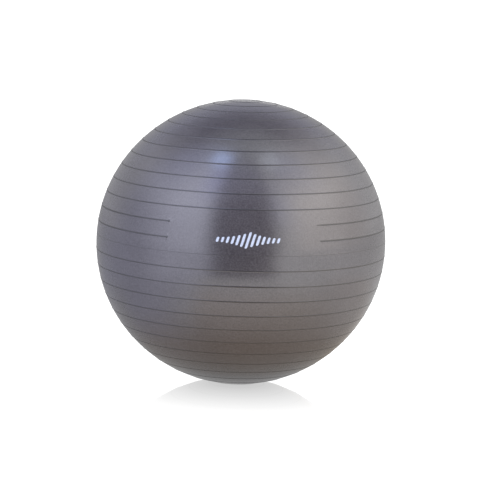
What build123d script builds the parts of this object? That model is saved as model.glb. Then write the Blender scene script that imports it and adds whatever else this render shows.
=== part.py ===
from build123d import *
import os
from math import atan2, cos, radians, sin

# Exercise ball: a blown-up vinyl ball with moulded rings, a bonded valve seat and a push-in valve plug.
# Millimetres. The floor is at z = 0, +Z is the axis the rings run round, and the plain panel faces -Y.

# ---- the ball's skin --------------------------------------------------------------------------------
ball_radius = 325.0        # a 65 cm ball, measured round the middle
ball_half_height = 320.1   # it stands a little lower than it is wide
skin_thickness = 1.0
floor_patch_radius = 36.0  # the ball's own weight flattens it this much where it stands
ball_centre_z = ball_half_height * (1.0 - (floor_patch_radius / ball_radius) ** 2) ** 0.5

# ---- moulded rings, each a small rounded ridge --------------------------------------------------------
ridge_radius = 1.1         # radius of the ridge's rounded crown
ridge_height = 0.8         # how far the ridge stands out of the skin
upper_first = 8.05         # latitude of the lowest ring above the middle, in degrees
upper_pitch = 6.15
upper_growth = 0.012       # the pitch opens slowly towards the top
upper_count = 13
lower_first = 3.36         # latitude of the highest ring below the middle
lower_pitch = 6.2
lower_growth = 0.0055      # the lower half is stretched more by the load
lower_count = 12
parting_latitude = 2.65    # mould parting line
parting_height = 0.2
top_pip_radius = 4.0       # round pip that the mould's vent leaves on top
top_pip_height = 0.3
top_inside_flat = 0.05     # how much thicker the skin is under that pip

# ---- the two rings that stop for the panel and for the valve -------------------------------------------
broken_rings = 2           # the lowest rings of the upper half
panel_left_end = -29.6     # azimuth from the front, in degrees, positive towards +X
panel_right_ends = (31.9, 30.0)
valve_gap_half_angle = 7.0
left_dot_radius = 1.8      # the left ends finish in a small round dot
left_dot_height = 0.95     # and stand out a little more than the ring does

# ---- the valve, at the back between the two broken rings --------------------------------------------------
valve_latitude = 11.2
seat_outer_radius = 11.0
seat_stand_out = 1.0       # the seat's mouth stands this far out of the skin
seat_tail_radius = 8.0
seat_depth = 23.0          # how far the seat reaches into the ball
seat_flange_radius = 23.0  # flange bonded to the inside of the skin
seat_flange_depth = 3.2
seat_rim_fillet = 0.6
bond_gap = 0.05
head_recess_radius = 9.25
head_recess_depth = 1.7
seat_bore_radius = 5.5
pry_notch_radius = 3.0     # half-round notch that lets a fingertip under the plug's head
pry_notch_reach = 10.2     # how far from the valve's axis it reaches

plug_head_radius = 9.0
plug_head_thickness = 1.6
plug_head_fillet = 0.7
plug_shank_radius = 5.0
plug_shank_length = 21.0
plug_ring_radius = 5.45    # sealing rings, a sliding fit in the seat's bore
plug_ring_width = 1.6
plug_ring_count = 4
plug_ring_first = 4.5      # depth of the first sealing ring below the head
plug_ring_pitch = 3.6
plug_tip_radius = 4.0
plug_hollow_radius = 2.75
plug_hollow_length = 16.0


def upper_latitude(k):
    """Latitude of the k-th ring above the middle."""
    return upper_first + upper_pitch * k + upper_growth * k**2


def lower_latitude(k):
    """Latitude of the k-th ring below the middle, as a negative angle."""
    return -(lower_first + lower_pitch * k + lower_growth * k**3)


def skin_point(latitude, height):
    """Radius from the axis and height above the floor of a point that stands `height` out of the skin."""
    phi = radians(latitude)
    normal_tilt = atan2(sin(phi) / ball_half_height, cos(phi) / ball_radius)
    across = ball_radius * cos(phi) + height * cos(normal_tilt)
    up = ball_centre_z + ball_half_height * sin(phi) + height * sin(normal_tilt)
    return across, up


def around(azimuth, latitude, height):
    """The same point in space, at an azimuth counted from the front (-Y) towards +X."""
    across, up = skin_point(latitude, height)
    return across * sin(radians(azimuth)), -across * cos(radians(azimuth)), up


def section_plane(azimuth):
    """Upright plane through the ball's axis whose local x points outwards at the azimuth."""
    outward = (sin(radians(azimuth)), -cos(radians(azimuth)), 0.0)
    sideways = (-cos(radians(azimuth)), -sin(radians(azimuth)), 0.0)
    return Plane(origin=(0, 0, 0), x_dir=outward, z_dir=sideways)


# the valve's own plane: origin on the skin, local z straight out of the ball
valve_phi = radians(valve_latitude)
valve_tilt = atan2(sin(valve_phi) / ball_half_height, cos(valve_phi) / ball_radius)
valve_plane = Plane(
    origin=around(180.0, valve_latitude, 0.0),
    x_dir=(1, 0, 0),
    z_dir=(0.0, cos(valve_tilt), sin(valve_tilt)),
)
# an upright section through the valve: local x across the valve, local y straight out of the ball
valve_section = Plane(origin=valve_plane.origin, x_dir=(1, 0, 0), z_dir=-valve_plane.y_dir)
valve_axis = Axis(origin=valve_plane.origin, direction=valve_plane.z_dir)


# ---- the room inside the skin, which the valve seat's flange has to fit ----------------------------------
with BuildPart() as ball_inside:
    with BuildSketch(Plane.XZ):
        with Locations((0, ball_centre_z)):
            Ellipse(
                ball_radius - skin_thickness - bond_gap,
                ball_half_height - skin_thickness - bond_gap,
            )
        with Locations((ball_radius, ball_centre_z)):
            Rectangle(2 * ball_radius, 4 * ball_radius, mode=Mode.INTERSECT)
    revolve(axis=Axis.Z)


# ---- ball_shell: the one-piece moulded skin --------------------------------------------------------------
# the hollow's section, flat over the floor patch and, over a small disc, under the top
room_height = ball_centre_z + ball_half_height - 2 * skin_thickness - top_inside_flat
with BuildSketch(Plane.XZ) as room_section:
    with Locations((0, ball_centre_z)):
        Ellipse(ball_radius - skin_thickness, ball_half_height - skin_thickness)
    with Locations((0, skin_thickness + room_height / 2)):
        Rectangle(4 * ball_radius, room_height, mode=Mode.INTERSECT)

# the skin, the rings that run all the way round, the parting line and the top pip, as one half section
with BuildSketch(Plane.XZ) as skin_section:
    with Locations((0, ball_centre_z)):
        Ellipse(ball_radius, ball_half_height)
    for k in range(broken_rings, upper_count):
        with Locations(skin_point(upper_latitude(k), ridge_height - ridge_radius)):
            Circle(ridge_radius)
    for k in range(lower_count):
        with Locations(skin_point(lower_latitude(k), ridge_height - ridge_radius)):
            Circle(ridge_radius)
    with Locations(skin_point(parting_latitude, parting_height - ridge_radius)):
        Circle(ridge_radius)
    with Locations((0, ball_centre_z + ball_half_height)):
        Rectangle(2 * top_pip_radius, 2 * top_pip_height)
    add(room_section.sketch_local, mode=Mode.SUBTRACT)
    with Locations((ball_radius, ball_radius)):
        Rectangle(2 * ball_radius, 2 * ball_radius, mode=Mode.INTERSECT)

with BuildPart() as ball_shell:
    add(skin_section.sketch)
    revolve(axis=Axis.Z)

    # the two rings that stop for the panel in front and for the valve behind
    for k in range(broken_rings):
        right_arc = 180.0 - valve_gap_half_angle - panel_right_ends[k]
        left_arc = 180.0 - valve_gap_half_angle + panel_left_end
        arc_starts = (panel_right_ends[k], 180.0 + valve_gap_half_angle)
        for start, arc in zip(arc_starts, (right_arc, left_arc)):
            with BuildSketch(section_plane(start)):
                with Locations(skin_point(upper_latitude(k), ridge_height - ridge_radius)):
                    Circle(ridge_radius)
                with Locations((0, ball_centre_z)):
                    Ellipse(
                        ball_radius - skin_thickness / 2,
                        ball_half_height - skin_thickness / 2,
                        mode=Mode.SUBTRACT,
                    )
            revolve(axis=Axis.Z, revolution_arc=arc)

    # the dots at their left ends: low round pips with their feet in the skin
    for k in range(broken_rings):
        latitude = upper_latitude(k)
        foot = around(panel_left_end, latitude, -skin_thickness / 2)
        top = around(panel_left_end, latitude, ridge_height)
        outwards = tuple(t - f for t, f in zip(top, foot))
        with BuildSketch(Plane(origin=foot, z_dir=outwards)):
            Circle(left_dot_radius)
        extrude(amount=left_dot_height + skin_thickness / 2)

    # the round hole for the valve seat
    with BuildSketch(valve_plane):
        Circle(seat_outer_radius + bond_gap)
    extrude(amount=3 * skin_thickness, both=True, mode=Mode.SUBTRACT)
ball_shell.part.label = "ball_shell"


# ---- valve_seat: soft vinyl insert bonded into the skin -------------------------------------------------
with BuildPart() as valve_seat:
    with BuildSketch(valve_plane.offset(-seat_flange_depth)):
        Circle(seat_flange_radius)
    extrude(amount=seat_flange_depth)
    add(ball_inside.part, mode=Mode.INTERSECT)
    with BuildSketch(valve_section):
        with BuildLine():
            Polyline(
                (0, seat_stand_out),
                (seat_outer_radius, seat_stand_out),
                (seat_outer_radius, -seat_flange_depth - 1.0),
                (seat_tail_radius, -seat_depth),
                (0, -seat_depth),
                close=True,
            )
        make_face()
    revolve(axis=valve_axis)
    # round the mouth's outer rim
    mouth_rim = valve_seat.edges().filter_by(GeomType.CIRCLE).sort_by(valve_axis)[-1]
    fillet(mouth_rim, seat_rim_fillet)
    # recess for the plug's head, pry notch and bore
    with BuildSketch(valve_plane.offset(seat_stand_out)):
        Circle(head_recess_radius)
        with Locations((0, pry_notch_reach - pry_notch_radius)):
            Circle(pry_notch_radius)
    extrude(amount=-head_recess_depth, mode=Mode.SUBTRACT)
    with BuildSketch(valve_plane.offset(seat_stand_out)):
        Circle(seat_bore_radius)
    extrude(amount=-(seat_stand_out + seat_depth), mode=Mode.SUBTRACT)
valve_seat.part.label = "valve_seat"


# ---- valve_plug: push-in plug with sealing rings ---------------------------------------------------------
head_base = seat_stand_out - head_recess_depth + bond_gap
with BuildPart() as valve_plug:
    with BuildSketch(valve_plane.offset(head_base)):
        Circle(plug_head_radius)
    extrude(amount=plug_head_thickness)
    fillet(valve_plug.edges().sort_by(valve_axis)[-1], plug_head_fillet)
    with BuildSketch(valve_section):
        with BuildLine():
            Polyline(
                (0, head_base),
                (plug_shank_radius, head_base),
                (plug_shank_radius, head_base - plug_shank_length + 3.0),
                (plug_tip_radius, head_base - plug_shank_length),
                (0, head_base - plug_shank_length),
                close=True,
            )
        make_face()
    revolve(axis=valve_axis)
    for n in range(plug_ring_count):
        with BuildSketch(valve_plane.offset(head_base - plug_ring_first - n * plug_ring_pitch)):
            Circle(plug_ring_radius)
        extrude(amount=plug_ring_width)
    with BuildSketch(valve_plane.offset(head_base - plug_shank_length)):
        Circle(plug_hollow_radius)
    extrude(amount=plug_hollow_length, mode=Mode.SUBTRACT)
valve_plug.part.label = "valve_plug"


os.makedirs("parts", exist_ok=True)
export_step(ball_shell.part, "parts/ball_shell.step")
export_step(valve_seat.part, "parts/valve_seat.step")
export_step(valve_plug.part, "parts/valve_plug.step")
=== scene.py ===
import math

import bpy
import numpy as np
from mathutils import Matrix, Vector


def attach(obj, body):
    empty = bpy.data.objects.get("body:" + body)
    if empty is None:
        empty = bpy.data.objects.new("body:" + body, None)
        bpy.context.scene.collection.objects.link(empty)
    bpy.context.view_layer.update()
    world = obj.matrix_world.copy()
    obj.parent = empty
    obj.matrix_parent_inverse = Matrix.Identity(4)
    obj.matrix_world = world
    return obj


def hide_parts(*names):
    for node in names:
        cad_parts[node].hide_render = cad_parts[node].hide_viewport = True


# An exercise ball on a white floor: its ringed vinyl skin and the printed mark on it are made here, and the
# seat and the plug of its valve come from the CAD model.

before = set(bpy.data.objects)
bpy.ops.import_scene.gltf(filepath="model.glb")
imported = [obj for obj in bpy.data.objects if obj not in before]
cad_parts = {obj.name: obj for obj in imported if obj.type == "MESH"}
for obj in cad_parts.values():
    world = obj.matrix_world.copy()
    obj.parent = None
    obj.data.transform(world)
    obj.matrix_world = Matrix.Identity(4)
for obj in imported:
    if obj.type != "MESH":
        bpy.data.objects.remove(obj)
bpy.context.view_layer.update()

# ---- the ball's size and form, in metres ---------------------------------------------------------
MM = 0.001
EQUATOR = 325.0 * MM        # half its width
POLE = 320.1 * MM           # half its height before the floor flattens it
PATCH = 36.0 * MM           # radius of the flat patch it stands on
CENTRE_Z = POLE * math.sqrt(1.0 - (PATCH / EQUATOR) ** 2)
SKIN = 1.0 * MM             # thickness
CENTRE = Vector((0.0, 0.0, CENTRE_Z))
LEAN = 1.2 * MM             # how far it bulges to its upper right and lower left, seen from the front
INSIDE_GRID = (4.0, 5.0)    # degrees between the rows and the columns of the mesh inside the skin

# ---- the moulded rings, as latitudes in degrees --------------------------------------------------
BROKEN_RINGS = 2            # the lowest two of the upper rings stop at the front panel
UPPER_RINGS = [8.05 + 6.15 * k + 0.012 * k**2 for k in range(13)]
LOWER_RINGS = [-(3.36 + 6.2 * k + 0.0055 * k**3) for k in range(12)]
PARTING = 2.65              # latitude of the mould's fine parting line
PARTING_HEIGHT = 0.18 * MM
PARTING_HALF_WIDTH = 0.9 * MM
RING_HEIGHT = 0.5 * MM
RING_HALF_WIDTH = 1.7 * MM
BROKEN_RING_HALF_WIDTH = 2.2 * MM
WANDER = ((0.06, 3, 40), (0.05, 7, -25))  # how the height varies: share, waves round the ball, turn
RING_EDGE = 0.06 * MM       # a face that stands out more than this has the rings' duller finish and their dark colour of painted shade
PANEL_LEFT = -29.6          # longitude where the broken rings end in a dot, left of the panel
PANEL_LEFT_TAPER = 0.1      # degrees either side of it over which they fade out
PANEL_RIGHT = (31.9, 30.0)  # longitudes where they start again right of it
PANEL_RIGHT_LEAD = 0.3      # how many degrees before that they begin to rise
PANEL_RIGHT_TAPER = (0.8, 4.5)  # how many degrees past it each one has its full height
VALVE_GAP = 7.0             # degrees from the valve to the broken rings on either side
VALVE_TAPER = 0.35          # degrees over which they fade out there
DOT_RADIUS = 2.7 * MM
DOT_HEIGHT = 0.8 * MM
TOP_PIP_EDGE = (3.1 * MM, 4.4 * MM)  # the radii between which its edge falls off
TOP_PIP_HEIGHT = 0.3 * MM

# ---- the valve -----------------------------------------------------------------------------------
VALVE_LATITUDE = 11.2
HOLE_RADIUS = 11.05 * MM
COLLAR_RADIUS = 13.0 * MM   # the mesh round the valve starts here, where the mesh grid is open
HOLE_EDGE = (               # the hole's rounded edge outside, as radii and heights over the skin
    (COLLAR_RADIUS, 0.0),
    (11.6 * MM, 0.0),
    (11.2 * MM, -0.1 * MM),
    (HOLE_RADIUS, -0.35 * MM),
)
RING_FOOT = 2.4 * MM        # the grid's opening outside keeps this far from the middle of a ring
OUTSIDE_OPENING = 3.7       # half that opening's width, in degrees of longitude
INSIDE_OPENING = (9.0, 13.5, 5.0)  # the opening inside: lowest and highest latitude, half width
TOLERANCE = 1e-6            # degrees

# ---- the printed mark ----------------------------------------------------------------------------
MARK_LATITUDE = 8.6
MARK_LONGITUDE = 2.8
MARK_LENGTH = 137.0 * MM
MARK_BARS = 13
MARK_BAR_WIDTH = 5.6 * MM
MARK_LOW = 11.0 * MM
MARK_HIGH = 36.0 * MM
MARK_SLANT = 0.3            # how far a bar leans to the right, for each unit of its height
MARK_LIFT = 0.08 * MM       # how far its face stands above the skin
MARK_SINK = 0.15 * MM       # how far its underside lies in the skin


def surface(latitude, longitude, lift=0.0):
    """Points on the skin (arrays of degrees and metres). Longitude runs from the front, -Y, towards +X."""
    phi = np.radians(latitude)
    lam = np.radians(longitude)
    tilt = np.arctan2(np.sin(phi) / POLE, np.cos(phi) / EQUATOR)
    lift = lift + LEAN * np.sin(2.0 * phi) * np.sin(lam)
    across = EQUATOR * np.cos(phi) + lift * np.cos(tilt)
    up = CENTRE_Z + POLE * np.sin(phi) + lift * np.sin(tilt)
    return np.stack([across * np.sin(lam), -across * np.cos(lam), up], axis=-1)


def settle(points, level, ease=0.6 * MM):
    """Presses what reaches below the floor level flat, with a soft edge."""
    depth = points[..., 2] - level
    soft = 0.5 * (depth + np.sqrt(depth**2 + ease**2))
    deepest = CENTRE_Z - POLE
    rest = 0.5 * (deepest + math.sqrt(deepest**2 + ease**2))
    points[..., 2] = level + soft - rest * np.clip(-depth / -deepest, 0.0, 1.0)
    return points


def bump(distance, half_width):
    """A rounded bump, 1 in the middle and 0 at its foot."""
    return np.where(np.abs(distance) < half_width, np.cos(0.5 * np.pi * distance / half_width) ** 2, 0.0)


def smooth_step(x, low, high):
    """Rises smoothly from 0 at `low` to 1 at `high`."""
    t = np.clip((x - low) / (high - low), 0.0, 1.0)
    return t * t * (3.0 - 2.0 * t)


def arc_length(degrees_apart, radius=EQUATOR):
    """The length in metres of an angle on the skin."""
    return np.radians(degrees_apart) * radius


def ring_break(longitude, k):
    """0 where broken ring k is missing, in the front panel and at the valve, and 1 elsewhere."""
    lon = (longitude + 180.0) % 360.0 - 180.0
    left = 1.0 - smooth_step(lon, PANEL_LEFT - PANEL_LEFT_TAPER, PANEL_LEFT + PANEL_LEFT_TAPER)
    right = smooth_step(lon, PANEL_RIGHT[k] - PANEL_RIGHT_LEAD, PANEL_RIGHT[k] + PANEL_RIGHT_TAPER[k])
    from_valve = np.abs(180.0 - np.abs(lon))
    back = smooth_step(from_valve, VALVE_GAP - VALVE_TAPER / 2, VALVE_GAP + VALVE_TAPER / 2)
    return np.maximum(left, right) * back


def moulded_rings(latitude, longitude):
    """How far the moulded rings and their end dots stand out of the skin."""
    lift = np.zeros(np.broadcast(latitude, longitude).shape)
    wander = 1.0
    for share, waves, turn in WANDER:
        wander = wander + share * np.sin(np.radians(waves * longitude + turn))
    for k, ring in enumerate(UPPER_RINGS):
        half_width = BROKEN_RING_HALF_WIDTH if k < BROKEN_RINGS else RING_HALF_WIDTH
        height = RING_HEIGHT * bump(arc_length(latitude - ring), half_width) * wander
        if k < BROKEN_RINGS:
            height = height * ring_break(longitude, k)
            along = arc_length(longitude - PANEL_LEFT, EQUATOR * math.cos(math.radians(ring)))
            reach = np.hypot(arc_length(latitude - ring), along)
            height = np.maximum(height, DOT_HEIGHT * bump(reach, DOT_RADIUS) ** 0.5)
        lift = np.maximum(lift, height)
    for ring in LOWER_RINGS:
        height = RING_HEIGHT * bump(arc_length(latitude - ring), RING_HALF_WIDTH) * wander
        lift = np.maximum(lift, height)
    return lift


def ring_lift(latitude, longitude):
    """How far the rings, their end dots and the fine parting line stand out of the skin."""
    parting = PARTING_HEIGHT * bump(arc_length(latitude - PARTING), PARTING_HALF_WIDTH)
    return np.maximum(moulded_rings(latitude, longitude), parting)


def skin_lift(latitude, longitude):
    """How far the skin stands out of its plain form: the rings, and the round pip on top."""
    from_pole = arc_length(90.0 - latitude)
    pip = TOP_PIP_HEIGHT * (1.0 - smooth_step(from_pole, *TOP_PIP_EDGE))
    return np.maximum(ring_lift(latitude, longitude), pip)


def beside(latitude, distances):
    """Latitudes at some distances from one latitude, in millimetres along the skin."""
    return [latitude + math.degrees(distance * MM / EQUATOR) for distance in distances]


def outer_rows():
    """Latitudes of the mesh rows: close together over each ring, the foot and the pip, and wide between."""
    over_ring = (-2.5, -1.75, -1.3, -0.85, -0.42, 0.0, 0.42, 0.85, 1.3, 1.75, 2.5)
    over_parting = (-1.5, -0.9, -0.45, 0.0, 0.45, 0.9, 1.5)
    usual_gap = 1.6
    foot_of_ball = [-89.0, -87.5, -86.0, -85.0, -84.3, -83.7, -83.1, -82.5, -81.6]
    top_pip = [86.0, 88.0, 89.08, 89.2, 89.28, 89.36, 89.44, 89.56]
    groups = [beside(ring, over_ring) for ring in UPPER_RINGS + LOWER_RINGS]
    groups.extend([beside(PARTING, over_parting), foot_of_ball, top_pip])
    groups.sort()
    rows = []
    for group, following in zip(groups, groups[1:]):
        gap = following[0] - group[-1]
        parts = max(1, round(gap / usual_gap))
        rows.extend(group)
        rows.extend(group[-1] + gap * i / parts for i in range(1, parts))
    rows.extend(groups[-1])
    return np.array(rows)


def outer_columns():
    """Longitudes of the mesh columns, closer together where a ring ends."""
    coarse_step = 1.8
    fine_step = 0.2
    clearance = 0.35
    over_dot = (-0.6, -0.4, -0.24, -0.12, 0.0, 0.12, 0.24, 0.4, 0.6)
    over_end = (-0.36, -0.18, 0.0, 0.18, 0.36)
    fine = [PANEL_LEFT + offset for offset in over_dot]
    for end in (180.0 - VALVE_GAP, VALVE_GAP - 180.0):
        fine.extend(end + offset for offset in over_end)
    fine.extend(np.arange(PANEL_RIGHT[1] - PANEL_RIGHT_LEAD, PANEL_RIGHT[0] + 0.9, fine_step))
    everywhere = np.arange(coarse_step - 180.0, 180.1, coarse_step)
    coarse = [column for column in everywhere if min(abs(column - other) for other in fine) > clearance]
    return np.array(sorted(fine + coarse))


class MeshMaker:
    """Gathers the points and faces of one piece, and which faces have its second material."""

    def __init__(self):
        self.points = []
        self.faces = []
        self.second_material = set()

    def add_points(self, points):
        """Adds points and returns their numbers."""
        first = len(self.points)
        self.points.extend(map(tuple, np.asarray(points, float).reshape(-1, 3)))
        return list(range(first, len(self.points)))

    def stitch(self, outer, inner, angle_of, flip):
        """Fills the band between two closed loops with triangles, going round by angle."""
        a = sorted(outer, key=angle_of)
        b = sorted(inner, key=angle_of)
        i = j = 0
        while i < len(a) or j < len(b):
            next_a = angle_of(a[(i + 1) % len(a)]) + 2 * math.pi * ((i + 1) // len(a))
            next_b = angle_of(b[(j + 1) % len(b)]) + 2 * math.pi * ((j + 1) // len(b))
            if j >= len(b) or (i < len(a) and next_a <= next_b):
                face = (a[i % len(a)], a[(i + 1) % len(a)], b[j % len(b)])
                i += 1
            else:
                face = (a[i % len(a)], b[(j + 1) % len(b)], b[j % len(b)])
                j += 1
            self.faces.append(face[::-1] if flip else face)

    def ring_of_quads(self, first, second, flip):
        """Fills the band between two closed loops that have the same number of points."""
        count = len(first)
        for i in range(count):
            following = (i + 1) % count
            face = (first[i], first[following], second[following], second[i])
            self.faces.append(face[::-1] if flip else face)

    def build(self, name):
        """Makes the object from what was gathered, with smooth shading."""
        mesh = bpy.data.meshes.new(name)
        mesh.from_pydata(self.points, [], self.faces)
        mesh.shade_smooth()
        for index in self.second_material:
            mesh.polygons[index].material_index = 1
        piece = bpy.data.objects.new(name, mesh)
        bpy.context.scene.collection.objects.link(piece)
        return piece


def valve_frame():
    """The valve's place on the skin and its directions: across, up the skin, and straight out."""
    origin = surface(np.array(VALVE_LATITUDE), np.array(180.0))
    phi = math.radians(VALVE_LATITUDE)
    tilt = math.atan2(math.sin(phi) / POLE, math.cos(phi) / EQUATOR)
    out = np.array([0.0, math.cos(tilt), math.sin(tilt)])
    across = np.array([1.0, 0.0, 0.0])
    return origin, across, np.cross(out, across), out


def skin_circle(radius, lift, count=64):
    """Points on the skin round the valve's axis."""
    origin, across, up, out = valve_frame()
    turn = np.arange(count) * 2 * math.pi / count
    foot = origin + radius * (np.outer(np.cos(turn), across) + np.outer(np.sin(turn), up))
    # the height along the valve's axis at which each foot meets the ellipsoid
    scale = np.array([1 / EQUATOR, 1 / EQUATOR, 1 / POLE])
    p = (foot - np.array(CENTRE)) * scale
    d = out * scale
    b = p @ d
    a = d @ d
    reach = (-b + np.sqrt(b * b - a * ((p * p).sum(axis=1) - 1.0))) / a
    return foot + np.outer(reach + lift, out)


def shell_side(maker, rows, columns, lift_of, window, level, flip, circles):
    """One side of the skin: a grid with poles, and a round hole for the valve. Returns the hole's edge.

    `window` is the opening in the grid, as lowest latitude, highest latitude and half width, and `circles`
    lead from it to the hole.
    """
    lat, lon = np.meshgrid(rows, columns, indexing="ij")
    points = settle(surface(lat, lon, lift_of(lat, lon)), level)
    index = np.array(maker.add_points(points)).reshape(lat.shape)
    lowest = surface(np.array([-90.0]), np.array([0.0]), lift_of(-90.0, 0.0))
    highest = surface(np.array([90.0]), np.array([0.0]), lift_of(90.0, 0.0))
    bottom = maker.add_points(settle(lowest, level))[0]
    top = maker.add_points(highest)[0]
    low, high, side = window
    inside_rows = [r for r in range(len(rows)) if low - TOLERANCE <= rows[r] <= high + TOLERANCE]
    away = np.abs(180.0 - np.abs(columns))
    inside_columns = [c for c in range(len(columns)) if away[c] <= side + TOLERANCE]
    count = len(columns)
    next_columns = np.append(columns[1:], columns[0] + 360.0)
    middle_rows = 0.5 * (rows[:-1] + rows[1:])
    middle_columns = 0.5 * (columns + next_columns)
    on_ring = ring_lift(*np.meshgrid(middle_rows, middle_columns, indexing="ij")) > RING_EDGE
    for r in range(len(rows) - 1):
        for c in range(count):
            following = (c + 1) % count
            rows_inside = r in inside_rows and r + 1 in inside_rows
            if rows_inside and c in inside_columns and following in inside_columns:
                continue
            face = (index[r, c], index[r, following], index[r + 1, following], index[r + 1, c])
            # faces on a ring get the ring material, whose dark colour is painted shade
            if on_ring[r, c] and not flip:
                maker.second_material.add(len(maker.faces))
            maker.faces.append(tuple(int(v) for v in (face[::-1] if flip else face)))
    for c in range(count):
        following = (c + 1) % count
        foot = (bottom, int(index[0, following]), int(index[0, c]))
        cap = (top, int(index[-1, c]), int(index[-1, following]))
        maker.faces.append(foot[::-1] if flip else foot)
        maker.faces.append(cap[::-1] if flip else cap)
    r0, r1 = inside_rows[0], inside_rows[-1]
    edge = {int(index[r, c]) for r in inside_rows for c in inside_columns if r in (r0, r1)}
    by_angle = sorted(inside_columns, key=lambda c: columns[c] % 360.0)
    ends = (by_angle[0], by_angle[-1])
    edge |= {int(index[r, c]) for r in inside_rows for c in ends}
    origin, across, up, _ = valve_frame()

    def angle_of(vertex):
        place = np.array(maker.points[vertex]) - origin
        return math.atan2(place @ up, place @ across) % (2 * math.pi)

    loops = [maker.add_points(circle) for circle in circles]
    maker.stitch(list(edge), loops[0], angle_of, flip)
    for first, second in zip(loops, loops[1:]):
        maker.ring_of_quads(first, second, flip)
    return loops[-1]


def make_skin():
    """The whole moulded skin, outside and inside, closed round the valve's hole."""
    maker = MeshMaker()
    foot = math.degrees(RING_FOOT / EQUATOR)
    window = (UPPER_RINGS[0] + foot, UPPER_RINGS[1] - foot, OUTSIDE_OPENING)
    outer_circles = [skin_circle(radius, lift) for radius, lift in HOLE_EDGE]
    outer = shell_side(
        maker,
        outer_rows(),
        outer_columns(),
        skin_lift,
        window,
        level=0.0,
        flip=False,
        circles=outer_circles,
    )
    row_step, column_step = INSIDE_GRID
    low, high, _ = INSIDE_OPENING
    plain_rows = [row for row in np.arange(0.5 * row_step - 90.0, 90.0, row_step) if not low <= row <= high]
    inner_circles = [skin_circle(COLLAR_RADIUS, -SKIN), skin_circle(HOLE_RADIUS, -SKIN)]
    inner = shell_side(
        maker,
        np.array(sorted([*plain_rows, low, high])),
        np.arange(column_step - 180.0, 180.1, column_step),
        lambda lat, lon: np.full(np.broadcast(lat, lon).shape, -SKIN),
        INSIDE_OPENING,
        level=SKIN,
        flip=True,
        circles=inner_circles,
    )
    maker.ring_of_quads(outer, inner, flip=False)
    skin = maker.build("moulded_skin")
    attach(skin, "ball")
    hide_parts("ball_shell")
    return skin


def mark_bar(maker, across, height, width):
    """One slanted bar of the printed mark, with rounded ends: a thin closed slab that follows the skin."""
    points_along = 15
    least = 0.04
    rise = 0.5 - 0.5 * np.cos(np.linspace(0.0, np.pi, points_along))
    end = 0.5 * width / height
    from_end = np.minimum(rise, 1.0 - rise)
    roundness = np.sqrt(np.clip(1.0 - (1.0 - np.minimum(from_end / end, 1.0)) ** 2, least, 1.0))
    up = (rise - 0.5) * height
    loops = []
    for lift in (MARK_LIFT, -MARK_SINK):
        left = across + up * MARK_SLANT - 0.5 * width * roundness
        right = across + up * MARK_SLANT + 0.5 * width * roundness
        latitude = MARK_LATITUDE + np.degrees(up / EQUATOR)
        reach = EQUATOR * np.cos(np.radians(latitude))
        sides = [MARK_LONGITUDE + np.degrees(side / reach) for side in (left, right)]
        loops.append([maker.add_points(surface(latitude, longitude, lift)) for longitude in sides])
    (top_left, top_right), (low_left, low_right) = loops
    for i in range(points_along - 1):
        maker.faces.append((top_left[i], top_right[i], top_right[i + 1], top_left[i + 1]))
        maker.faces.append((low_left[i + 1], low_right[i + 1], low_right[i], low_left[i]))
        maker.faces.append((top_left[i + 1], low_left[i + 1], low_left[i], top_left[i]))
        maker.faces.append((top_right[i], low_right[i], low_right[i + 1], top_right[i + 1]))
    maker.faces.append((top_right[0], top_left[0], low_left[0], low_right[0]))
    maker.faces.append((top_left[-1], top_right[-1], low_right[-1], low_left[-1]))


def make_mark():
    """A plain printed mark on the front panel: a row of slanted bars, tallest in the middle."""
    maker = MeshMaker()
    middle = (MARK_BARS - 1) / 2
    for i in range(MARK_BARS):
        share = 1.0 - abs(i - middle) / middle
        height = MARK_LOW + (MARK_HIGH - MARK_LOW) * share**2
        across = (i - middle) * (MARK_LENGTH - MARK_BAR_WIDTH) / (MARK_BARS - 1)
        mark_bar(maker, across, height, MARK_BAR_WIDTH)
    mark = maker.build("printed_mark")
    mark.data.shade_flat()
    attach(mark, "ball")
    return mark


# ---- materials -----------------------------------------------------------------------------------
SKIN_SHADE = (0.050, 0.046, 0.052)
SKIN_LIGHT = (0.108, 0.100, 0.110)
# the rings' colours are painted shade: darker than the skin, for the shade of the thin ribs' flanks
RING_PAINTED_SHADE_DEEP = (0.018, 0.016, 0.018)
RING_PAINTED_SHADE_PALE = (0.030, 0.027, 0.030)
SEAT_SHADE = (0.022, 0.022, 0.024)
SEAT_LIGHT = (0.034, 0.034, 0.037)
PLUG_SHADE = (0.035, 0.036, 0.039)
PLUG_LIGHT = (0.055, 0.056, 0.060)
INK_THIN = (0.50, 0.56, 0.68)
INK_FULL = (0.62, 0.69, 0.84)
VINYL_IOR = 1.5


def new_material(name):
    """Makes a node material and returns it with its nodes, links and main shader."""
    material = bpy.data.materials.new(name)
    material.use_nodes = True
    nodes = material.node_tree.nodes
    return material, nodes, material.node_tree.links, nodes["Principled BSDF"]


def node(nodes, kind, **settings):
    """Adds a node and sets its properties, or its inputs where the name starts with "in_"."""
    made = nodes.new(kind)
    for name, value in settings.items():
        if name.startswith("in_"):
            made.inputs[name[3:].replace("_", " ")].default_value = value
        else:
            setattr(made, name, value)
    return made


def noise(nodes, links, place, scale, detail, roughness=0.5):
    """A cloud of values from 0 to 1 in the object's own space, with about `scale` clouds in each metre."""
    cloud = node(nodes, "ShaderNodeTexNoise", in_Scale=scale, in_Detail=detail, in_Roughness=roughness)
    links.new(place, cloud.inputs["Vector"])
    return cloud.outputs["Fac"]


def span(nodes, links, value, low, high, to_low=0.0, to_high=1.0):
    """Maps a value from one range to another, and holds it at the ends."""
    share = node(nodes, "ShaderNodeMapRange")
    share.inputs["From Min"].default_value = low
    share.inputs["From Max"].default_value = high
    share.inputs["To Min"].default_value = to_low
    share.inputs["To Max"].default_value = to_high
    links.new(value, share.inputs["Value"])
    return share.outputs["Result"]


def spread(nodes, links, cloud, low=0.0, high=1.0):
    """Maps a cloud's usual values, about 0.3 to 0.7, to a wider or narrower range."""
    return span(nodes, links, cloud, 0.3, 0.7, low, high)


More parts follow.
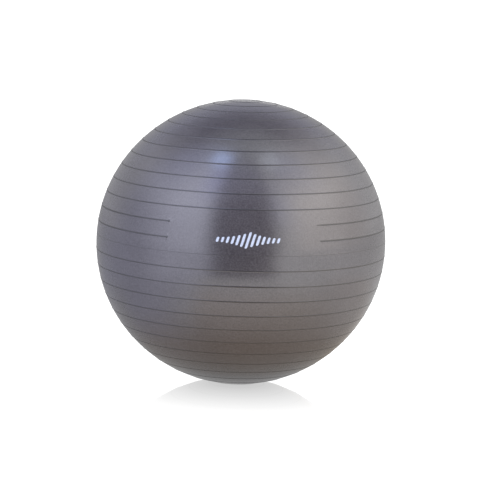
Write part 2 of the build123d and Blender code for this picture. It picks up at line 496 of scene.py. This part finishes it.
def sum_of(nodes, links, first, second):
    """Adds two values."""
    total = node(nodes, "ShaderNodeMath", operation="ADD")
    links.new(first, total.inputs[0])
    links.new(second, total.inputs[1])
    return total.outputs["Value"]


def blend_of(nodes, links, factor, first, second):
    """Mixes two plain colours."""
    mix = node(nodes, "ShaderNodeMix", data_type="RGBA")
    links.new(factor, mix.inputs["Factor"])
    mix.inputs["A"].default_value = (*first, 1.0)
    mix.inputs["B"].default_value = (*second, 1.0)
    return mix.outputs["Result"]


def add_bump(nodes, links, shader, height, depth, strength):
    """Roughens a shader's surface by a cloud of heights, `depth` metres from lowest to highest."""
    bumps = node(nodes, "ShaderNodeBump", in_Strength=strength, in_Distance=depth)
    links.new(height, bumps.inputs["Height"])
    links.new(bumps.outputs["Normal"], shader.inputs["Normal"])


def vinyl_material():
    """Glossy pearl-graphite vinyl: a fine grain, faint flow clouds and a slightly uneven gloss."""
    material, nodes, links, shader = new_material("pearl_graphite_vinyl")
    place = nodes.new("ShaderNodeTexCoord").outputs["Object"]
    clouds = spread(nodes, links, noise(nodes, links, place, scale=7.0, detail=3.0), high=0.3)
    grain = spread(nodes, links, noise(nodes, links, place, scale=320.0, detail=2.0), high=0.7)
    tone = sum_of(nodes, links, clouds, grain)
    links.new(blend_of(nodes, links, tone, SKIN_SHADE, SKIN_LIGHT), shader.inputs["Base Color"])
    gloss = noise(nodes, links, place, scale=18.0, detail=4.0)
    links.new(spread(nodes, links, gloss, low=0.205, high=0.235), shader.inputs["Roughness"])
    shader.inputs["IOR"].default_value = VINYL_IOR
    shader.inputs["Specular IOR Level"].default_value = 1.0
    dimples = noise(nodes, links, place, scale=190.0, detail=2.0)
    add_bump(nodes, links, shader, dimples, depth=0.05 * MM, strength=0.25)
    return material


def ring_material():
    """The vinyl of the raised rings: duller, and darkened as painted shade, the shade that the thin ribs'
    flanks show.
    """
    material, nodes, links, shader = new_material("dull_ring_vinyl_painted_shade")
    place = nodes.new("ShaderNodeTexCoord").outputs["Object"]
    wear = spread(nodes, links, noise(nodes, links, place, scale=30.0, detail=4.0))
    links.new(blend_of(nodes, links, wear, RING_PAINTED_SHADE_DEEP, RING_PAINTED_SHADE_PALE), shader.inputs["Base Color"])
    links.new(span(nodes, links, wear, 0.0, 1.0, 0.34, 0.42), shader.inputs["Roughness"])
    shader.inputs["IOR"].default_value = VINYL_IOR
    shader.inputs["Specular IOR Level"].default_value = 0.85
    return material


def dark_vinyl_material():
    """Matt black vinyl of the valve's seat, with a fine moulded grain."""
    material, nodes, links, shader = new_material("dark_seat_vinyl")
    place = nodes.new("ShaderNodeTexCoord").outputs["Object"]
    grain = noise(nodes, links, place, scale=900.0, detail=3.0)
    tone = spread(nodes, links, noise(nodes, links, place, scale=90.0, detail=3.0))
    links.new(blend_of(nodes, links, tone, SEAT_SHADE, SEAT_LIGHT), shader.inputs["Base Color"])
    links.new(spread(nodes, links, grain, low=0.4, high=0.52), shader.inputs["Roughness"])
    add_bump(nodes, links, shader, grain, depth=0.05 * MM, strength=0.4)
    return material


def plug_material():
    """Waxy dark polyethylene of the plug, faintly mottled."""
    material, nodes, links, shader = new_material("plug_polyethylene")
    place = nodes.new("ShaderNodeTexCoord").outputs["Object"]
    mottle = noise(nodes, links, place, scale=240.0, detail=4.0, roughness=0.6)
    tone = spread(nodes, links, mottle)
    links.new(blend_of(nodes, links, tone, PLUG_SHADE, PLUG_LIGHT), shader.inputs["Base Color"])
    links.new(spread(nodes, links, mottle, low=0.3, high=0.4), shader.inputs["Roughness"])
    scuffs = noise(nodes, links, place, scale=1500.0, detail=2.0)
    add_bump(nodes, links, shader, scuffs, depth=0.02 * MM, strength=0.3)
    return material


def ink_material():
    """Pale blue-white screen ink, a little thinner in places."""
    material, nodes, links, shader = new_material("pale_screen_ink")
    place = nodes.new("ShaderNodeTexCoord").outputs["Object"]
    coverage = span(nodes, links, noise(nodes, links, place, scale=300.0, detail=3.0), 0.3, 0.65)
    links.new(blend_of(nodes, links, coverage, INK_THIN, INK_FULL), shader.inputs["Base Color"])
    weave = noise(nodes, links, place, scale=700.0, detail=2.0)
    links.new(spread(nodes, links, weave, low=0.34, high=0.46), shader.inputs["Roughness"])
    return material


def finish_piece(piece, *materials):
    """Gives a piece its materials."""
    # a new mesh has none yet, and clearing it would reset all its faces to the first one
    if piece.data.materials:
        piece.data.materials.clear()
    for material in materials:
        piece.data.materials.append(material)


skin = make_skin()
finish_piece(skin, vinyl_material(), ring_material())
finish_piece(make_mark(), ink_material())
finish_piece(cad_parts["valve_seat"], dark_vinyl_material())
finish_piece(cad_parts["valve_plug"], plug_material())

# ---- stage: floor, world and lights --------------------------------------------------------------
FLOOR_LOOPS = (0.5, 2.0, 8.0, 40.0)  # radii of the loops in the floor's mesh, out to its edge
FLOOR_GLOW_IN_PAINTED_SHADOW = 0.445     # the floor's own glow in the middle, without what it mirrors, dimmed there as a painted shadow round the ball's foot
FLOOR_GLOW_CLEAR = 1.1        # and beyond FLOOR_PAINTED_SHADOW_REACH from the middle, past the painted shadow
FLOOR_PAINTED_SHADOW_REACH = 0.42
FLOOR_POLISH = 0.04         # roughness
WHITE = 1.1                 # the backdrop where the camera sees it

# tints
PLAIN = (1.0, 1.0, 1.0)
SLATE = (0.96, 1.05, 0.98)
COOL = (0.92, 0.945, 1.135)
BLUE = (0.85, 0.9, 1.25)
DEEP_BLUE = (0.78, 0.84, 1.42)
WARM = (1.06, 1.0, 0.94)
SAND = (1.13, 1.0, 0.85)
BROWN = (1.3, 1.0, 0.68)

# How bright the studio is as the ball sees it, ring by ring: azimuth in degrees, with the front at 0 and
# the right positive, then brightness and tint. Two wide soft sources stand left and right of a dark gap at
# the camera. The narrow backdrop, straight behind the ball, is what the floor in front of the ball mirrors.
BACKDROP = 1.7
WALL_FOOT = (
    (-176, BACKDROP, PLAIN),
    (-173, 0.5, PLAIN),
    (-150, 0.6, PLAIN),
    (-125, 0.75, PLAIN),
    (-100, 0.75, COOL),
    (-80, 1.15, COOL),
    (-55, 2.15, COOL),
    (-32, 2.5, COOL),
    (-19, 0.0, COOL),
    (23, 0.0, PLAIN),
    (34, 1.9, PLAIN),
    (55, 2.4, WARM),
    (80, 2.1, WARM),
    (105, 1.35, WARM),
    (130, 1.1, PLAIN),
    (155, 0.65, PLAIN),
    (173, 0.5, PLAIN),
    (176, BACKDROP, PLAIN),
)
WALL_LOW = WALL_FOOT[1:-1]  # without the backdrop
WALL_MIDDLE = (
    (-150, 0.6, COOL),
    (-125, 0.9, PLAIN),
    (-100, 1.4, COOL),
    (-80, 2.1, COOL),
    (-55, 3.1, COOL),
    (-34, 2.85, COOL),
    (-20, 0.0, BLUE),
    (23, 0.0, PLAIN),
    (34, 2.15, COOL),
    (55, 3.15, WARM),
    (80, 3.05, WARM),
    (105, 2.3, WARM),
    (130, 1.35, PLAIN),
    (155, 0.6, COOL),
)
WALL_TOP = (
    (-150, 0.0, PLAIN),
    (-125, 0.25, PLAIN),
    (-100, 1.2, BLUE),
    (-80, 1.7, BLUE),
    (-55, 2.4, COOL),
    (-34, 2.5, DEEP_BLUE),
    (-21, 0.55, BLUE),
    (24, 0.45, BLUE),
    (34, 1.5, PLAIN),
    (55, 1.6, COOL),
    (80, 1.95, COOL),
    (105, 1.5, PLAIN),
    (130, 0.4, PLAIN),
    (155, 0.0, PLAIN),
)
CEILING = ((-90, 0.76, SLATE), (30, 0.88, SLATE), (110, 0.84, SLATE))
# the floor as the ball mirrors it glows, and is darker near the ball: a painted shadow of the ball round
# its foot
FLOOR_PAINTED_SHADOW_AT_FOOT = ((0, 0.52, PLAIN),)
FLOOR_PAINTED_SHADOW_BY_BALL = (
    (-120, 0.42, PLAIN),
    (-60, 0.42, SAND),
    (0, 0.4, BROWN),
    (90, 0.42, SAND),
    (140, 0.42, SAND),
)
FLOOR_MIDDLE = (
    (-100, 0.5, PLAIN),
    (-80, 0.6, COOL),
    (-55, 0.8, COOL),
    (-35, 1.05, PLAIN),
    (-22, 1.0, SAND),
    (10, 0.97, SAND),
    (34, 1.05, SAND),
    (80, 0.85, WARM),
    (105, 0.65, WARM),
)
FLOOR_EDGE = (
    (-150, 0.4, PLAIN),
    (-100, 0.65, COOL),
    (-80, 0.6, COOL),
    (-55, 1.2, COOL),
    (-35, 1.5, COOL),
    (-22, 1.4, PLAIN),
    (24, 1.6, PLAIN),
    (34, 1.8, PLAIN),
    (55, 1.45, PLAIN),
    (80, 1.05, WARM),
    (105, 0.9, WARM),
    (130, 0.75, PLAIN),
)
FLOOR_BEYOND = (
    (-150, 0.45, PLAIN),
    (-100, 0.65, COOL),
    (-80, 0.75, COOL),
    (-55, 1.6, COOL),
    (-28, 1.7, COOL),
    (-14, 0.0, COOL),
    (19, 0.0, PLAIN),
    (31, 1.75, PLAIN),
    (55, 1.6, PLAIN),
    (80, 1.3, PLAIN),
    (105, 1.0, PLAIN),
    (130, 0.75, PLAIN),
    (155, 0.55, PLAIN),
)
LAMP_DISTANCE = 2.5
LAMP_SIDE = 0.5

# the rings by their elevation in the room, in degrees, and by their radius on the floor, in metres
ROOM_LEVELS = (
    (9.5, WALL_LOW),
    (10.3, WALL_FOOT),
    (12.1, WALL_FOOT),
    (12.9, WALL_LOW),
    (33.0, WALL_MIDDLE),
    (60.0, WALL_TOP),
    (90.0, CEILING),
)
FLOOR_LEVELS = (
    (0.12, FLOOR_PAINTED_SHADOW_AT_FOOT),
    (0.27, FLOOR_PAINTED_SHADOW_BY_BALL),
    (0.5, FLOOR_MIDDLE),
    (0.98, FLOOR_EDGE),
    (1.2, FLOOR_BEYOND),
)


def azimuth_of(nodes, links, place):
    """A socket that runs from 0 to 1 with the azimuth of a place, from -180 to 180 degrees."""
    split = nodes.new("ShaderNodeSeparateXYZ")
    links.new(place, split.inputs[0])
    toward_front = node(nodes, "ShaderNodeMath", operation="MULTIPLY")
    toward_front.inputs[1].default_value = -1.0
    links.new(split.outputs["Y"], toward_front.inputs[0])
    azimuth = node(nodes, "ShaderNodeMath", operation="ARCTAN2")
    links.new(split.outputs["X"], azimuth.inputs[0])
    links.new(toward_front.outputs[0], azimuth.inputs[1])
    return span(nodes, links, azimuth.outputs[0], -math.pi, math.pi)


def glow_ring(nodes, links, azimuth, stops):
    """One ring of brightness, as a colour that changes with the azimuth."""
    ramp = nodes.new("ShaderNodeValToRGB")
    elements = ramp.color_ramp.elements
    while len(elements) > len(stops):
        elements.remove(elements[-1])
    while len(elements) < len(stops):
        elements.new(1.0)
    for element, (stop, brightness, tint) in zip(elements, stops):
        element.position = (stop + 180) / 360
        element.color = (*(brightness * part for part in tint), 1.0)
    links.new(azimuth, ramp.inputs["Fac"])
    return ramp.outputs["Color"]


def glow(nodes, links, azimuth, level, rings):
    """Blends rings of brightness, each given at its own level, into one colour."""
    below, stops = rings[0]
    colour = glow_ring(nodes, links, azimuth, stops)
    for above, stops in rings[1:]:
        blend = node(nodes, "ShaderNodeMix", data_type="RGBA", clamp_result=False)
        links.new(span(nodes, links, level, below, above), blend.inputs["Factor"])
        links.new(colour, blend.inputs["A"])
        links.new(glow_ring(nodes, links, azimuth, stops), blend.inputs["B"])
        colour = blend.outputs["Result"]
        below = above
    return colour


def make_floor():
    """A white, slightly polished floor, its own glow dimmed round the ball as a painted shadow. In the
    ball's reflections it is the studio's own, darker floor, drawn as glow with a painted shadow of the ball
    round its foot.
    """
    maker = MeshMaker()
    count = 96
    turn = np.arange(count) * 2 * math.pi / count
    ring = np.stack([np.cos(turn), np.sin(turn), np.zeros(count)], axis=-1)
    loops = [maker.add_points(ring * radius) for radius in FLOOR_LOOPS]
    centre = maker.add_points([(0.0, 0.0, 0.0)])[0]
    for i in range(count):
        maker.faces.append((centre, loops[0][i], loops[0][(i + 1) % count]))
    for first, second in zip(loops, loops[1:]):
        maker.ring_of_quads(second, first, flip=False)
    floor = maker.build("floor")

    material, nodes, links, shader = new_material("white_floor")
    shader.inputs["Base Color"].default_value = (0.0, 0.0, 0.0, 1.0)
    shader.inputs["Roughness"].default_value = FLOOR_POLISH
    shader.inputs["Emission Color"].default_value = (1.0, 1.0, 1.0, 1.0)
    place = nodes.new("ShaderNodeTexCoord")
    length = node(nodes, "ShaderNodeVectorMath", operation="LENGTH")
    links.new(place.outputs["Object"], length.inputs[0])
    distance = length.outputs["Value"]
    # the floor's glow rises with distance from the ball: a painted shadow round its foot
    shadowed_glow = span(nodes, links, distance, 0.0, FLOOR_PAINTED_SHADOW_REACH, FLOOR_GLOW_IN_PAINTED_SHADOW, FLOOR_GLOW_CLEAR)
    links.new(shadowed_glow, shader.inputs["Emission Strength"])

    azimuth = azimuth_of(nodes, links, place.outputs["Object"])
    reflected = nodes.new("ShaderNodeEmission")
    links.new(glow(nodes, links, azimuth, distance, FLOOR_LEVELS), reflected.inputs["Color"])
    ray = nodes.new("ShaderNodeLightPath")
    either = nodes.new("ShaderNodeMixShader")
    links.new(ray.outputs["Is Camera Ray"], either.inputs["Fac"])
    links.new(reflected.outputs["Emission"], either.inputs[1])
    links.new(shader.outputs["BSDF"], either.inputs[2])
    links.new(either.outputs["Shader"], nodes["Material Output"].inputs["Surface"])
    finish_piece(floor, material)


def area_light(name, azimuth, elevation, radiance, colour):
    """A square soft light that faces the ball from a direction, in degrees from the front."""
    turn = math.radians(azimuth)
    rise = math.radians(elevation)
    out = Vector((math.cos(rise) * math.sin(turn), -math.cos(rise) * math.cos(turn), math.sin(rise)))
    data = bpy.data.lights.new(name, "AREA")
    data.shape = "SQUARE"
    data.size = LAMP_SIDE
    data.energy = radiance * LAMP_SIDE**2 * math.pi
    data.color = colour
    light = bpy.data.objects.new(name, data)
    light.location = CENTRE + out * LAMP_DISTANCE
    light.rotation_euler = (-out).to_track_quat("-Z", "Y").to_euler()
    bpy.context.scene.collection.objects.link(light)


def make_lights():
    """Two lamps over the front, which make the two small highlights high on the ball."""
    area_light("left_overhead", azimuth=-44.0, elevation=69.5, radiance=2.4, colour=(0.56, 0.86, 1.65))
    area_light("right_overhead", azimuth=48.0, elevation=68.0, radiance=1.2, colour=(0.9, 1.0, 1.1))


def make_world():
    """The room that the ball mirrors, with a plain white backdrop where the camera sees it directly."""
    world = bpy.data.worlds.new("studio")
    bpy.context.scene.world = world
    world.use_nodes = True
    nodes = world.node_tree.nodes
    links = world.node_tree.links
    place = nodes.new("ShaderNodeTexCoord")
    azimuth = azimuth_of(nodes, links, place.outputs["Generated"])
    split = nodes.new("ShaderNodeSeparateXYZ")
    links.new(place.outputs["Generated"], split.inputs[0])
    rise = node(nodes, "ShaderNodeMath", operation="ARCSINE")
    links.new(split.outputs["Z"], rise.inputs[0])
    elevation = node(nodes, "ShaderNodeMath", operation="DEGREES")
    links.new(rise.outputs[0], elevation.inputs[0])
    room = glow(nodes, links, azimuth, elevation.outputs[0], ROOM_LEVELS)
    ray = nodes.new("ShaderNodeLightPath")
    seen = node(nodes, "ShaderNodeMix", data_type="RGBA")
    seen.inputs["B"].default_value = (WHITE, WHITE, WHITE, 1.0)
    links.new(ray.outputs["Is Camera Ray"], seen.inputs["Factor"])
    links.new(room, seen.inputs["A"])
    links.new(seen.outputs["Result"], nodes["Background"].inputs["Color"])


make_floor()
make_lights()
make_world()

# ---- camera --------------------------------------------------------------------------------------
CAMERA_DISTANCE = 18.23 * EQUATOR
CAMERA_PITCH = math.radians(7.92)
CAMERA_ROLL = math.radians(1.84)
BALL_SHARE = 0.300625       # the ball's radius as a share of the picture's width
AIM_LEFT = 2.03 * MM        # the camera aims a little left of and above the ball's centre
AIM_UP = 3.85 * MM
SENSOR = 36.0               # millimetres, as for the lens
CAMERA_REACH = 200.0


def make_camera():
    """The camera, in front of the panel and a little above it, as in the photograph."""
    data = bpy.data.cameras.new("camera")
    data.sensor_width = SENSOR
    data.lens = BALL_SHARE * (CAMERA_DISTANCE / EQUATOR) * SENSOR
    data.clip_end = CAMERA_REACH
    camera = bpy.data.objects.new("camera", data)
    back = Vector((0.0, -math.cos(CAMERA_PITCH), math.sin(CAMERA_PITCH)))
    camera.location = CENTRE + back * CAMERA_DISTANCE
    right = Vector((1.0, 0.0, 0.0))
    up = back.cross(right)
    aim = CENTRE - right * AIM_LEFT + up * AIM_UP
    look = (camera.location - aim).normalized()
    side = up.cross(look).normalized()
    turn = Matrix((side, look.cross(side), look)).transposed()
    camera.rotation_euler = (turn @ Matrix.Rotation(CAMERA_ROLL, 3, "Z")).to_euler()
    bpy.context.scene.collection.objects.link(camera)
    bpy.context.scene.camera = camera


make_camera()
bpy.context.scene.view_settings.view_transform = "Standard"
